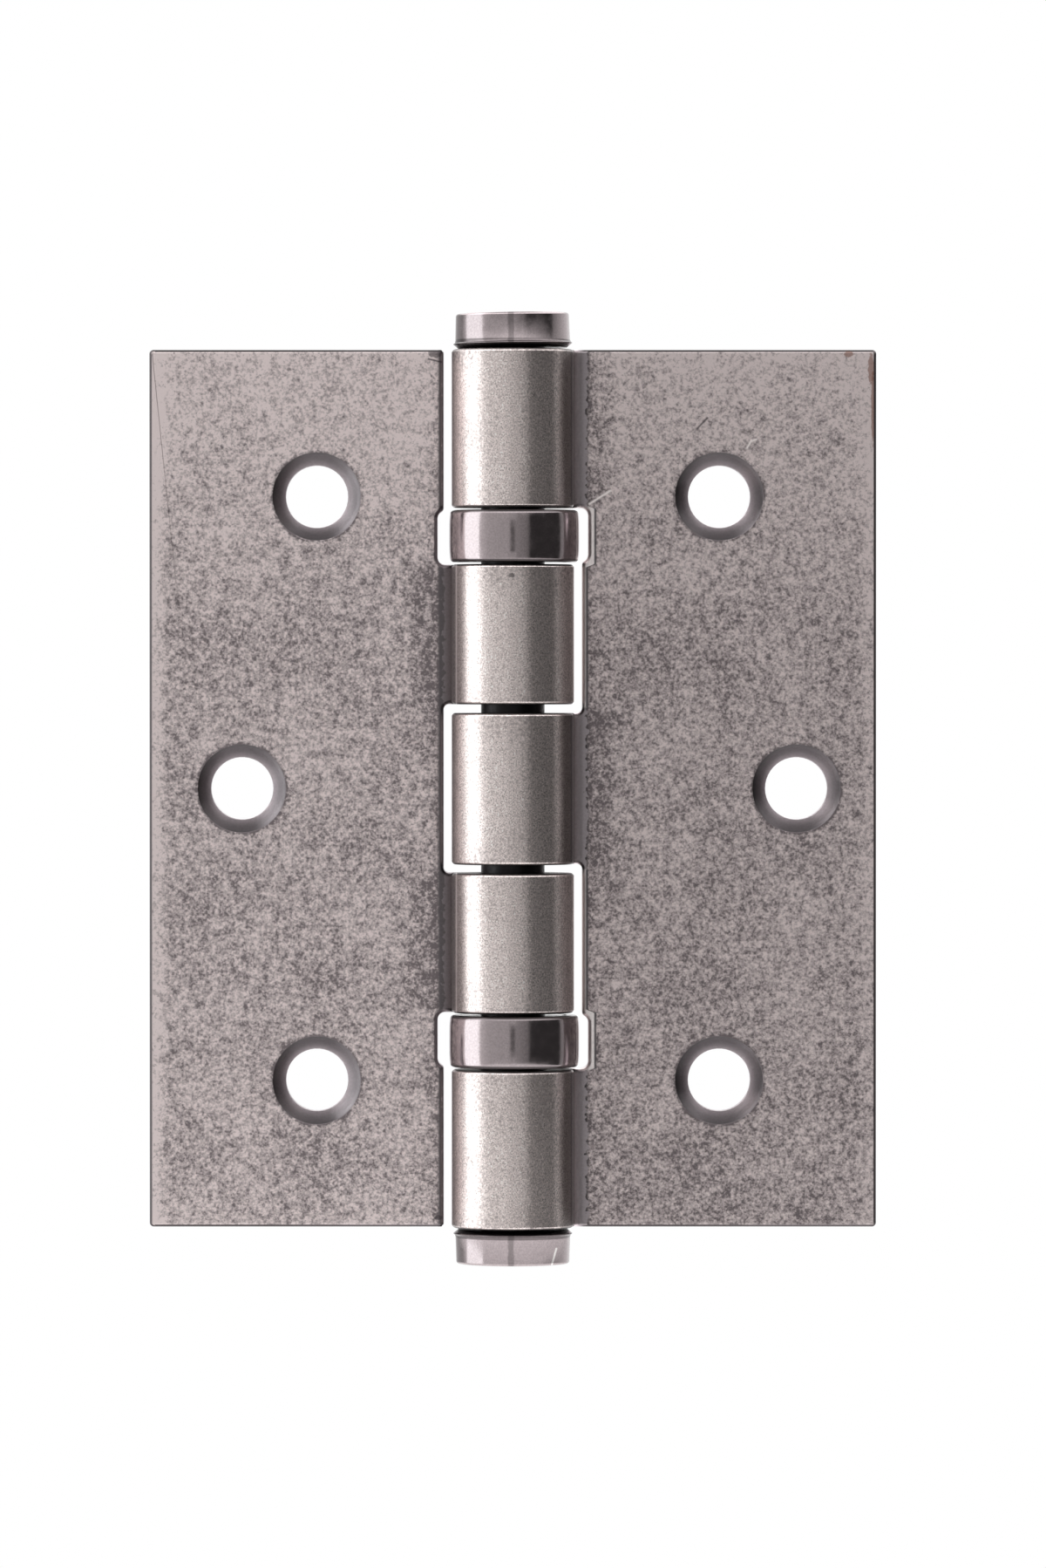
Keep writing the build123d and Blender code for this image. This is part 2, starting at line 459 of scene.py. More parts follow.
def mottle_group(finish):
    """Light and dark specks of tumbled plating, in clouds. 0 is dark and 1 is light."""
    group, given, result = new_group(
        "Tumbled Mottle", {"Grain": finish.grain, "Cloud": finish.cloud}, ("Tone", "Specks")
    )
    where = given["Place"]
    fine_scale = calc(group, "DIVIDE", 1.0, given["Grain"])
    fine = place(
        group, "ShaderNodeTexNoise", Vector=where, Scale=fine_scale, Detail=3.0, Roughness=0.62
    ).outputs[0]
    patch_scale = calc(group, "DIVIDE", 0.32, given["Grain"])
    patch = place(group, "ShaderNodeTexNoise", Vector=where, Scale=patch_scale, Detail=2.0).outputs[0]
    cloud_scale = calc(group, "DIVIDE", 1.0, given["Cloud"])
    cloud = place(group, "ShaderNodeTexNoise", Vector=where, Scale=cloud_scale, Detail=2.0).outputs[0]
    grain_scale = calc(group, "DIVIDE", 2.1, given["Grain"])
    grains = place(group, "ShaderNodeTexVoronoi", Vector=where, Scale=grain_scale).outputs["Color"]
    tone = total(
        group,
        calc(group, "MULTIPLY_ADD", fine, 2.5, -0.75),
        calc(group, "MULTIPLY_ADD", separate(group, grains)[0], 0.34, -0.17),
        calc(group, "MULTIPLY_ADD", patch, 1.3, -0.65),
        calc(group, "MULTIPLY_ADD", cloud, 0.6, -0.3),
    )
    group.links.new(tone, result["Tone"])
    group.links.new(fine, result["Specks"])
    return group


def ends_group():
    """How near a place on the barrel is to an end of a knuckle, from 1 at the end to 0."""
    group, given, result = new_group("Knuckle Ends", {"Reach": 1.0}, ("Nearness",))
    up = unsigned(group, separate(group, given["Place"])["Z"])
    nearest = unsigned(group, less(group, up, leaf_half_height_mm))
    for end in (middle_knuckle_end_mm, door_knuckle_low_mm, door_knuckle_high_mm, end_knuckle_start_mm):
        nearest = calc(group, "MINIMUM", unsigned(group, less(group, up, end)), nearest)
    share = calc(group, "DIVIDE", nearest, given["Reach"])
    group.links.new(less(group, 1.0, share), result["Nearness"])
    return group


def scratch_group():
    """A straight scratch seen from the front, in millimetres. 1 is on its line."""
    built = bpy.data.node_groups.get("Scratch")
    if built:
        return built
    given_defaults = {"Across": 0.0, "Up": 0.0, "Run Across": 1.0, "Run Up": 0.0, "Width": 0.1}
    group, given, result = new_group("Scratch", given_defaults, ("Mask",))
    at_x, _, at_z = separate(group, given["Place"])
    from_x = less(group, at_x, given["Across"])
    from_z = less(group, at_z, given["Up"])
    run_x, run_z = given["Run Across"], given["Run Up"]
    along = calc(group, "MULTIPLY_ADD", from_x, run_x, product(group, from_z, run_z))
    run_squared = calc(group, "MULTIPLY_ADD", run_x, run_x, product(group, run_z, run_z))
    share = calc(group, "MAXIMUM", calc(group, "DIVIDE", along, run_squared), 0.0)
    share = calc(group, "MINIMUM", share, 1.0)
    off_x = less(group, from_x, product(group, share, run_x))
    off_z = less(group, from_z, product(group, share, run_z))
    off = calc(group, "DIVIDE", distance(group, off_x, off_z), given["Width"])
    group.links.new(calc(group, "MAXIMUM", less(group, 1.0, off), 0.0), result["Mask"])
    return group


def blot_group():
    """A ragged spot seen from the front, in millimetres. 1 is inside it."""
    given_defaults = {"Across": 0.0, "Up": 0.0, "Half Width": 1.0, "Half Height": 1.0}
    group, given, result = new_group("Blot", given_defaults, ("Mask",))
    at_x, _, at_z = separate(group, given["Place"])
    off_x = calc(group, "DIVIDE", less(group, at_x, given["Across"]), given["Half Width"])
    off_z = calc(group, "DIVIDE", less(group, at_z, given["Up"]), given["Half Height"])
    ragged = calc(group, "MULTIPLY_ADD", noise(group, given["Place"], 0.35), 0.9, -0.45)
    off = total(group, distance(group, off_x, off_z), ragged)
    group.links.new(spread(group, off, 0.75, 1.05, 1.0, 0.0), result["Mask"])
    return group


def new_material(name):
    """A material with an empty tree, its Principled BSDF and its output."""
    material = bpy.data.materials.new(name)
    material.use_nodes = True
    tree = material.node_tree
    tree.nodes.clear()
    shader = tree.nodes.new("ShaderNodeBsdfPrincipled")
    output = tree.nodes.new("ShaderNodeOutputMaterial")
    tree.links.new(shader.outputs[0], output.inputs["Surface"])
    shader.inputs["Metallic"].default_value = 1.0
    return material, tree, shader


def raise_surface(tree, shader, height, depth_mm, strength=1.0):
    """Feeds a bump of a depth in millimetres to a shader's normal."""
    bump = place(tree, "ShaderNodeBump", Height=height, Distance=depth_mm * mm, Strength=strength)
    tree.links.new(bump.outputs[0], shader.inputs["Normal"])


# Finish of the leaves


bright_scratch = (0.86, 0.8, 0.78)
dark_stain = (0.07, 0.06, 0.065)
brown_stain = (0.24, 0.12, 0.09)
# Painted highlight of the strip along the frame leaf's notches
painted_highlight_strip = (0.96, 0.9, 0.88)
strip_outline = (0.06, 0.055, 0.06)
# Painted shade along the outer edges of the leaves
painted_edge_shade = (0.09, 0.078, 0.08)


@dataclass(frozen=True)
class LeafLook:
    """What one leaf's finish has of its own. Places are in millimetres out from the pin."""

    side: int
    middle_hole: float
    outer_hole: float
    # Painted light: the overall level of the plate
    painted_light_level: float
    border_tone: float
    # Painted light at the foot of the plate
    painted_foot_light: float
    band_end: float
    # Painted light on the smooth band next to the barrel
    painted_light_beside_barrel: float
    # Painted shade on the flanks of the knuckles
    flank_shade: float
    free_flank_start: float
    free_flank_end: float
    free_flank_shade: float
    seam: float
    seam_colour: tuple


frame_look = LeafLook(
    side=1,
    middle_hole=24.6,
    outer_hole=17.9,
    painted_light_level=0.85,
    border_tone=0.3,
    painted_foot_light=-0.07,
    band_end=6.42,
    painted_light_beside_barrel=3.3,
    flank_shade=0.34,
    free_flank_start=-5.05,
    free_flank_end=-4.4,
    free_flank_shade=0.58,
    seam=5.06,
    seam_colour=(0.08, 0.07, 0.08),
)
door_look = LeafLook(
    side=-1,
    middle_hole=23.5,
    outer_hole=17.0,
    painted_light_level=1.03,
    border_tone=0.6,
    painted_foot_light=0.03,
    band_end=5.98,
    painted_light_beside_barrel=0.9,
    flank_shade=0.45,
    free_flank_start=-4.9,
    free_flank_end=-4.3,
    free_flank_shade=0.75,
    seam=4.88,
    # Painted highlight along the edge of the door leaf's curl
    seam_colour=(0.9, 0.84, 0.82),
)


class LeafPlace:
    """Where a point of a leaf lies, in millimetres, as sockets in the leaf's material."""

    def __init__(self, tree, look):
        self.where = place_in_mm(tree)
        self.across, self.depth, self.height = separate(tree, self.where)
        self.out = product(tree, self.across, float(look.side))
        self.up = unsigned(tree, self.height)
        self.radius = distance(tree, self.across, self.depth)
        self.to_side = less(tree, leaf_reach_mm, self.out)
        self.to_end = less(tree, leaf_half_height_mm, self.up)
        at_outer = calc(tree, "GREATER_THAN", self.up, hole_height_mm / 2)
        hole_step = look.outer_hole - look.middle_hole
        hole_out = calc(tree, "MULTIPLY_ADD", at_outer, hole_step, look.middle_hole)
        self.beside_hole = less(tree, self.across, product(tree, hole_out, float(look.side)))
        self.over_hole = less(tree, self.up, product(tree, at_outer, hole_height_mm))
        self.from_hole = distance(tree, self.beside_hole, self.over_hole)


def at_own_knuckles(tree, at, look):
    """1 at the heights where a leaf runs into its knuckles, apart from the frame leaf's lowest."""
    if look.side > 0:
        top = spread(tree, at.height, end_knuckle_start_mm - 0.3, end_knuckle_start_mm + 0.5)
        middle_end = middle_knuckle_end_mm
        middle = spread(tree, at.up, middle_end - 0.35, middle_end + 0.45, 1.0, 0.0)
        return calc(tree, "MAXIMUM", top, middle)
    return between(
        tree,
        at.up,
        door_knuckle_low_mm - 0.3,
        door_knuckle_low_mm + 0.5,
        door_knuckle_high_mm - 0.8,
        door_knuckle_high_mm,
    )


def plate_finish(tree, at, look, finish, mottle):
    """Mottled plating of the flat plate: its colour and roughness.

    It is lighter along the borders. Painted light makes it lighter towards the top, darker at the foot
    of the frame leaf and lighter at the foot of the door leaf, and sets each leaf's overall level. It is
    darker beside the barrel, most of all beside the leaf's own knuckles, and round the countersinks.
    """
    side_border = spread(tree, at.to_side, 0.2, 1.9, look.border_tone, 0.0)
    end_border = spread(tree, at.to_end, 0.2, 1.4, 0.12, 0.0)
    # Painted light: lighter towards the top, and at the foot as set for each leaf
    painted_light_at_top = spread(tree, at.height, 12.0, 36.0, 0.0, 0.3)
    painted_light_at_foot = spread(tree, at.height, -36.0, -18.0, look.painted_foot_light, 0.0)
    beside_barrel = spread(tree, at.out, 6.6, 7.6, -0.15, 0.0)
    uneven = calc(tree, "MULTIPLY_ADD", noise(tree, at.where, 1.6, detail=3.0), 1.6, -0.8)
    patch = spread(tree, total(tree, at.out, uneven), 8.2, 9.2, -0.24, 0.0)
    patch = product(tree, at_own_knuckles(tree, at, look), patch)
    halo = spread(tree, at.from_hole, sink_radius_mm, sink_radius_mm + 0.3, -0.55, 0.0)
    tone = total(tree, mottle["Tone"], side_border, end_border, painted_light_at_top, painted_light_at_foot, beside_barrel, patch, halo)
    tone = spread(tree, tone, 0.0, 1.0, smooth=False)
    colour = blend_colours(tree, tone, finish.plating_dark, finish.plating_light)
    roughness = spread(tree, tone, 0.0, 1.0, 0.52, 0.42, smooth=False)
    # Painted light sets the overall level of each leaf
    return scaled(tree, colour, look.painted_light_level), roughness


def sheltered_finish(tree, at, look, finish):
    """Smooth plating beside the barrel and in the countersinks, with painted light on both: its colour
    and where it lies.
    """
    ragged = calc(tree, "MULTIPLY_ADD", noise(tree, at.where, 0.45), 1.1, -0.55)
    ragged_out = total(tree, at.out, ragged)
    band = spread(tree, ragged_out, look.band_end - 0.05, look.band_end + 0.1, 1.0, 0.0)
    faint = noise(tree, at.where, 0.2, detail=3.0)
    faint = spread(tree, faint, 0.3, 0.7, 0.93, 1.07, smooth=False)
    # Painted light across the smooth band, set for each leaf next to the barrel
    near_barrel = spread(tree, at.out, 5.35, 6.0, look.painted_light_beside_barrel, 1.15)
    sheltered_and_painted_light = scaled(tree, finish.plating_sheltered, product(tree, faint, near_barrel))

    # Countersinks, with painted light: lighter towards the hole and on the right
    sunk = between(
        tree,
        at.depth,
        front_face_mm + 0.005,
        front_face_mm + 0.03,
        back_face_mm - 0.1,
        back_face_mm - 0.03,
    )
    below_face = less(tree, at.depth, front_face_mm)
    half_way = 0.6 * sink_depth_mm
    outer_wall = spread(tree, below_face, 0.0, half_way, 0.27, 0.62, smooth=False)
    inner_wall = spread(tree, below_face, half_way, sink_depth_mm, 0.0, 0.55, smooth=False)
    right_wall = spread(tree, at.beside_hole, 1.0, 3.4, 1.0, 1.9)
    left_wall = spread(tree, at.beside_hole, -3.4, -1.0, 0.66, 1.0)
    painted_sink_light = product(tree, total(tree, outer_wall, inner_wall), right_wall, left_wall)
    colour = blend_colours(tree, band, scaled(tree, sheltered_and_painted_light, painted_sink_light), sheltered_and_painted_light)
    return colour, calc(tree, "MAXIMUM", sunk, band)


def barrel_finish(tree, at, look, finish, ends):
    """Knuckles rubbed bright: their colour, their roughness and where they lie.

    They are finely grained, with dark specks that gather near their ends. Painted shade darkens their
    flanks, a band right of their middle and the rims of their ends.
    """
    barrel = spread(tree, at.radius, barrel_radius_mm + 0.06, barrel_radius_mm + 0.2, 1.0, 0.0)
    gather = calc(tree, "MAXIMUM", ends, 0.0)
    speck = noise(tree, at.where, 0.24, detail=3.0, roughness=0.6)
    wander = calc(tree, "MULTIPLY_ADD", noise(tree, at.where, 3.2), 0.35, -0.175)
    speck = spread(tree, total(tree, speck, wander, product(tree, gather, 0.07)), 0.5, 0.85, 0.0, 0.85)
    grained = noise(tree, at.where, 0.12, roughness=0.6)
    grained = spread(tree, grained, 0.3, 0.7, 0.45, 1.52, smooth=False)
    # Painted shade: the flanks, a band right of the middle and the rims of the ends
    own_flank = spread(tree, at.out, 3.7, 4.6, 1.0, look.flank_shade)
    free_flank = spread(
        tree, at.out, look.free_flank_start, look.free_flank_end, look.free_flank_shade, 1.0
    )
    far_side = spread(tree, between(tree, at.across, 0.8, 2.0, 3.2, 3.9), 0.0, 1.0, 1.0, 0.76)
    rim = spread(tree, ends, 0.93, 0.98, 1.0, 0.2)
    top_rim = spread(tree, at.height, leaf_half_height_mm - 0.5, leaf_half_height_mm - 0.4, 0.0, 0.5)
    rim = calc(tree, "MAXIMUM", rim, top_rim)
    worn_and_shaded = scaled(tree, finish.barrel_worn, product(tree, grained, own_flank, free_flank, far_side, rim))
    colour = blend_colours(tree, speck, worn_and_shaded, finish.plating_dark)
    roughness = spread(tree, speck, 0.0, 1.0, 0.31, 0.42, smooth=False)
    return colour, roughness, barrel


class LeafMarks:
    """Puts scratches and stains on the front of a leaf. Places are in millimetres from its middle."""

    def __init__(self, tree, at, colour, scratch, blot):
        self.tree = tree
        self.where = at.where
        self.in_front = spread(tree, at.depth, back_face_mm - 0.6, back_face_mm - 0.2, 1.0, 0.0)
        self.colour = colour
        self.scratch_node = scratch
        self.blot_node = blot

    def scratch(self, mark, **line):
        """A straight scratch from a place, with its run to the other end and its width."""
        self.put(mark, 1.0, self.scratch_node, line)

    def stain(self, mark, **spot):
        """A ragged stain round a place."""
        self.put(mark, 0.7, self.blot_node, spot)

    def put(self, mark, share, group, given):
        """Lays a colour over the leaf, where a node group's mask shows it."""
        mask = use_group(self.tree, group, Place=self.where, **given)["Mask"]
        mask = product(self.tree, mask, self.in_front, share)
        self.colour = blend_colours(self.tree, mask, self.colour, mark)


def mark_frame_leaf(marks):
    """Scratches and stains of the right leaf."""
    marks.scratch(bright_scratch, Across=6.64, Up=24.66, Run_Across=1.81, Run_Up=1.14, Width=0.16)
    marks.scratch(dark_stain, Across=16.0, Up=31.2, Run_Across=0.85, Run_Up=0.9, Width=0.14)
    marks.scratch(bright_scratch, Across=20.3, Up=29.5, Run_Across=0.35, Run_Up=0.6, Width=0.13)
    marks.scratch(bright_scratch, Across=20.65, Up=30.1, Run_Across=0.45, Run_Up=0.15, Width=0.12)
    marks.stain(brown_stain, Across=29.1, Up=37.65, Half_Width=0.4, Half_Height=0.3)
    marks.stain(brown_stain, Across=31.05, Up=36.4, Half_Width=0.3, Half_Height=1.4)
    marks.stain(brown_stain, Across=31.2, Up=33.0, Half_Width=0.16, Half_Height=3.6)


def mark_door_leaf(marks):
    """Scratches and stains of the left leaf."""
    marks.scratch(dark_stain, Across=-7.3, Up=37.2, Run_Across=1.1, Run_Up=-0.25, Width=0.12)
    marks.scratch(dark_stain, Across=-6.7, Up=23.6, Run_Across=0.5, Run_Up=0.8, Width=0.16)
    marks.stain(dark_stain, Across=-6.7, Up=37.7, Half_Width=0.65, Half_Height=0.5)
    marks.stain(dark_stain, Across=-6.5, Up=-37.2, Half_Width=0.4, Half_Height=0.25)
    marks.stain(dark_stain, Across=-0.1, Up=18.4, Half_Width=0.3, Half_Height=0.22)


def add_notch_strip(tree, at, colour):
    """Painted highlight as a light strip along the frame leaf's notches, wider beside the bearings, with
    a dark outline.
    """
    bearing_low = door_knuckle_high_mm
    bearing_high = end_knuckle_start_mm
    beside_bearing = between(
        tree, at.up, bearing_low - 0.3, bearing_low + 0.1, bearing_high - 0.1, bearing_high + 0.3
    )
    along = between(
        tree,
        at.up,
        middle_knuckle_end_mm + 0.35,
        middle_knuckle_end_mm + 0.55,
        bearing_high - 0.1,
        bearing_high + 0.3,
    )
    strip_end = calc(tree, "MULTIPLY_ADD", beside_bearing, 0.72, 6.42)
    past = less(tree, at.out, strip_end)
    strip = product(tree, along, spread(tree, past, -0.02, 0.03, 1.0, 0.0), 0.7)
    outline = product(tree, along, near(tree, past, 0.05, 0.14), 0.85)
    colour = blend_colours(tree, strip, colour, painted_highlight_strip)
    return blend_colours(tree, outline, colour, strip_outline)


def add_edges_and_seam(tree, at, look, colour):
    """Painted shade along the outer edges, and the line where the curl meets the plate."""
    # Painted shade along the outer edges
    side_edge = spread(tree, at.to_side, 0.12, 0.3, 1.0, 0.0)
    end_edge = spread(tree, at.to_end, 0.1, 0.2, 1.0, 0.0)
    on_plate = spread(tree, at.out, 5.9, 6.2)
    edge = product(tree, calc(tree, "MAXIMUM", side_edge, end_edge), on_plate, 0.85)
    colour = blend_colours(tree, edge, colour, painted_edge_shade)
    in_front = spread(tree, at.depth, 0.5, 0.8, 1.0, 0.0)
    # The seam is a dark line on the frame leaf and a painted highlight on the door leaf
    seam = product(tree, near(tree, less(tree, at.out, look.seam), 0.03, 0.1), in_front, 0.6)
    return blend_colours(tree, seam, colour, look.seam_colour)


def leaf_material(name, look, finish, mottle, ends, scratch, blot):
    """Antique plating: mottled on the plate, smooth where sheltered, rubbed bright on the barrel."""
    material, tree, shader = new_material(name)
    at = LeafPlace(tree, look)
    mottled = use_group(tree, mottle, Place=at.where, Grain=finish.grain, Cloud=finish.cloud)
    colour, rough = plate_finish(tree, at, look, finish, mottled)
    sheltered_and_painted_light, sunk = sheltered_finish(tree, at, look, finish)
    colour = blend_colours(tree, sunk, colour, sheltered_and_painted_light)
    rough = blend_values(tree, sunk, rough, 0.34)
    nearness = use_group(tree, ends, Place=at.where, Reach=3.0)["Nearness"]
    knuckle, knuckle_rough, barrel = barrel_finish(tree, at, look, finish, nearness)
    marks = LeafMarks(tree, at, blend_colours(tree, barrel, colour, knuckle), scratch, blot)
    rough = blend_values(tree, barrel, rough, knuckle_rough)
    if look.side > 0:
        mark_frame_leaf(marks)
        colour = add_notch_strip(tree, at, marks.colour)
    else:
        mark_door_leaf(marks)
        colour = marks.colour
    colour = add_edges_and_seam(tree, at, look, colour)
    tree.links.new(colour, shader.inputs["Base Color"])
    tree.links.new(rough, shader.inputs["Roughness"])
    raise_surface(tree, shader, mottled["Specks"], 0.03, 0.35)
    return material


# Finish of the other pieces


# Painted shade in the groove under a tip's lip
painted_groove_shade = (0.03, 0.027, 0.028)
tip_scratch = (0.95, 0.92, 0.9)


def polished_finish(tree, where, finish, share=1.0):
    """Polished dark plating, hazy, with painted shade on the far left flank: its colour and roughness.
    """
    haze = noise(tree, where, 0.8, detail=3.0)
    speck = noise(tree, where, 0.16)
    tint = spread(tree, speck, 0.3, 0.7, 0.9 * share, 1.08 * share, smooth=False)
    painted_left_flank_shade = spread(tree, separate(tree, where)["X"], -4.95, -4.5, 0.7, 1.0)
    colour = scaled(tree, finish.polished, product(tree, tint, painted_left_flank_shade))
    return colour, spread(tree, haze, 0.3, 0.7, 0.1, 0.17)


def shell_material(finish):
    """Polished plating of the bearing shells, with painted shade at their corners."""
    material, tree, shader = new_material("polished_plating_shells")
    where = place_in_mm(tree)
    colour, rough = polished_finish(tree, where, finish)
    up = unsigned(tree, separate(tree, where)["Z"])
    from_middle = unsigned(tree, less(tree, up, shell_middle_mm))
    # Painted shade on the rounded corners
    corner = spread(
        tree, from_middle, shell_half_height_mm - 0.34, shell_half_height_mm - 0.16, 1.0, 0.15
    )
    tree.links.new(scaled(tree, colour, corner), shader.inputs["Base Color"])
    tree.links.new(rough, shader.inputs["Roughness"])
    return material


def tip_material(finish, scratch):
    """Polished plating, darker as painted shade and a little rougher, with a painted reflection as a
    dark streak in front and painted shade in black under the lip.
    """
    material, tree, shader = new_material("polished_plating_tips")
    where = place_in_mm(tree)
    # Painted shade: the tips take the polished plating a little darker
    colour, rough = polished_finish(tree, where, finish, share=0.85)
    across, depth, height = separate(tree, where)
    over_leaf = less(tree, unsigned(tree, height), leaf_half_height_mm)
    # Painted shade on the lip and the flare above it
    flare = spread(tree, over_leaf, 0.78, 0.9, 0.4, 1.0)
    # Painted reflection: a dark streak down the front
    drawn_out = place(tree, "ShaderNodeMapping", Vector=where, Scale=(1, 1, 0.15)).outputs[0]
    wander = calc(tree, "MULTIPLY_ADD", noise(tree, drawn_out, 0.12), 0.3, -0.15)
    off_painted_reflection = total(tree, unsigned(tree, total(tree, across, 0.16)), wander)
    painted_reflection = spread(tree, off_painted_reflection, 0.16, 0.34, 0.6, 1.0)
    painted_reflection = calc(tree, "MAXIMUM", painted_reflection, calc(tree, "GREATER_THAN", depth, -4.6))
    colour = scaled(tree, colour, product(tree, flare, painted_reflection))
    # Painted shade, black, in the groove under the lip
    groove = spread(tree, over_leaf, 0.4, 0.52, 1.0, 0.0)
    colour = blend_colours(tree, groove, colour, painted_groove_shade)
    mark = use_group(
        tree, scratch, Place=where, Across=3.76, Up=-39.66, Run_Across=-0.38, Run_Up=-1.34, Width=0.12
    )["Mask"]
    mark = product(tree, mark, calc(tree, "LESS_THAN", depth, -2.6))
    colour = blend_colours(tree, mark, colour, tip_scratch)
    tree.links.new(colour, shader.inputs["Base Color"])
    tree.links.new(total(tree, rough, 0.02), shader.inputs["Roughness"])
    return material


def steel_material(name, colour, smoothest, roughest):
    """Plain ground or drawn metal, with faint marks."""
    material, tree, shader = new_material(name)
    marks = noise(tree, place_in_mm(tree), 0.3, detail=3.0)
    darker = [part * 0.85 for part in colour]
    lighter = [min(part * 1.15, 1) for part in colour]
    tree.links.new(blend_colours(tree, marks, darker, lighter), shader.inputs["Base Color"])
    tree.links.new(spread(tree, marks, 0.3, 0.7, smoothest, roughest), shader.inputs["Roughness"])
    return material


# Pieces


class HINGE_OT_leaves(bpy.types.Operator):
    """Makes both leaves with tumbled edges and mottled plating"""

    bl_idname = "hinge.leaves"
    bl_label = "Leaves"

    def execute(self, context):
        shape = context.scene.hinge_shape
        finish = context.scene.hinge_finish
        groups = (mottle_group(finish), ends_group(), scratch_group(), blot_group())
        for node, body, look in (("frame_leaf", "frame", frame_look), ("door_leaf", "door", door_look)):
            material = leaf_material(f"worn_plating_{body}", look, finish, *groups)
            name = f"tumbled_{node}"
            piece = copy_of(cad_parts[node], name)
            open_mesh(piece)
            bpy.ops.mesh.select_all(action="SELECT")
            bpy.ops.mesh.remove_doubles(threshold=merge_distance)
            bpy.ops.mesh.dissolve_limited(angle_limit=flat_within, delimit=set())
            bpy.ops.mesh.quads_convert_to_tris(quad_method="BEAUTY", ngon_method="BEAUTY")
            bpy.ops.object.mode_set(mode="OBJECT")
            bpy.ops.mesh.customdata_custom_splitnormals_clear()
            round_edges(piece, shape.edge_rounding)
            settle(piece, name, body, material, "worn_plating", node)
        return {"FINISHED"}


def turn(outline, steps):
    """Turns a closed outline of (radius, height) round the pin and returns the new piece."""
    radius, height = outline[0]
    deselect_all()
    bpy.ops.mesh.primitive_circle_add(vertices=steps, radius=radius, location=(0, 0, height))
    piece = bpy.context.object
    bpy.ops.object.transform_apply(location=True, rotation=True, scale=True)
    open_mesh(piece)
    bpy.ops.mesh.select_all(action="SELECT")
    for next_radius, next_height in (*outline[1:], outline[0]):
        bpy.ops.mesh.extrude_edges_move(TRANSFORM_OT_translate={"value": (0, 0, next_height - height)})
        ratio = next_radius / radius
        bpy.ops.transform.resize(value=(ratio, ratio, 1), center_override=(0, 0, next_height))
        radius, height = next_radius, next_height
    bpy.ops.mesh.select_all(action="SELECT")
    bpy.ops.mesh.remove_doubles(threshold=0.001 * mm)
    bpy.ops.mesh.normals_make_consistent(inside=False)
    bpy.ops.object.mode_set(mode="OBJECT")
    return piece


def rounded(centre, radius, start, end, steps=5):
    """Points of a rounding of an outline, between two angles from straight out."""
    points = []
    for step in range(steps + 1):
        angle = radians(start + (end - start) * step / steps)
        points.append((centre[0] + radius * cos(angle), centre[1] + radius * sin(angle)))
    return points


class HINGE_OT_shells(bpy.types.Operator):
    """Rolls the crowned shell of each ball bearing, with a lip turned in at both ends"""

    bl_idname = "hinge.shells"
    bl_label = "Bearing Shells"

    def execute(self, context):
        shape = context.scene.hinge_shape
        material = shell_material(context.scene.hinge_finish)
        middle = (shell_low.z + shell_high.z) / 2
        half = (shell_high.z - shell_low.z) / 2
        radius = min(shell_high.x, shell_high.y)
        corner_height = half - shape.shell_rounding
        corner_radius = radius - shape.shell_crown - shape.shell_rounding
        crown = []
        for share in (-1, -0.92, -0.82, -0.7, -0.55, -0.35, 0, 0.35, 0.55, 0.7, 0.82, 0.92, 1):
            crown.append((radius - shape.shell_crown * share**4, middle + share * corner_height))
        top = rounded((corner_radius, middle + corner_height), shape.shell_rounding, 0, 90)
        bottom = rounded((corner_radius, middle - corner_height), shape.shell_rounding, -90, 0)
        wall = shape.shell_wall
        bore = radius - wall
        lip = shape.shell_lip_radius
        inside = [
            (lip, middle + half),
            (lip, middle + half - wall),
            (bore, middle + half - wall),
            (bore, middle - half + wall),
            (lip, middle - half + wall),
            (lip, middle - half),
        ]
        upper = turn([*bottom[:-1], *crown, *top[1:], *inside], shape.round_steps)
        round_edges(upper, shape.lip_rounding)
        lower = copy_of(upper, "lower")
        for piece, level in ((upper, "upper"), (lower, "lower")):
            node = f"{level}_bearing_shell"
            low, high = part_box(node)
            shift(piece, (shape.shell_play, 0, (low.z + high.z) / 2 - middle))
            settle(piece, f"rolled_{level}_shell", "frame", material, "polished_plating", node)
        return {"FINISHED"}


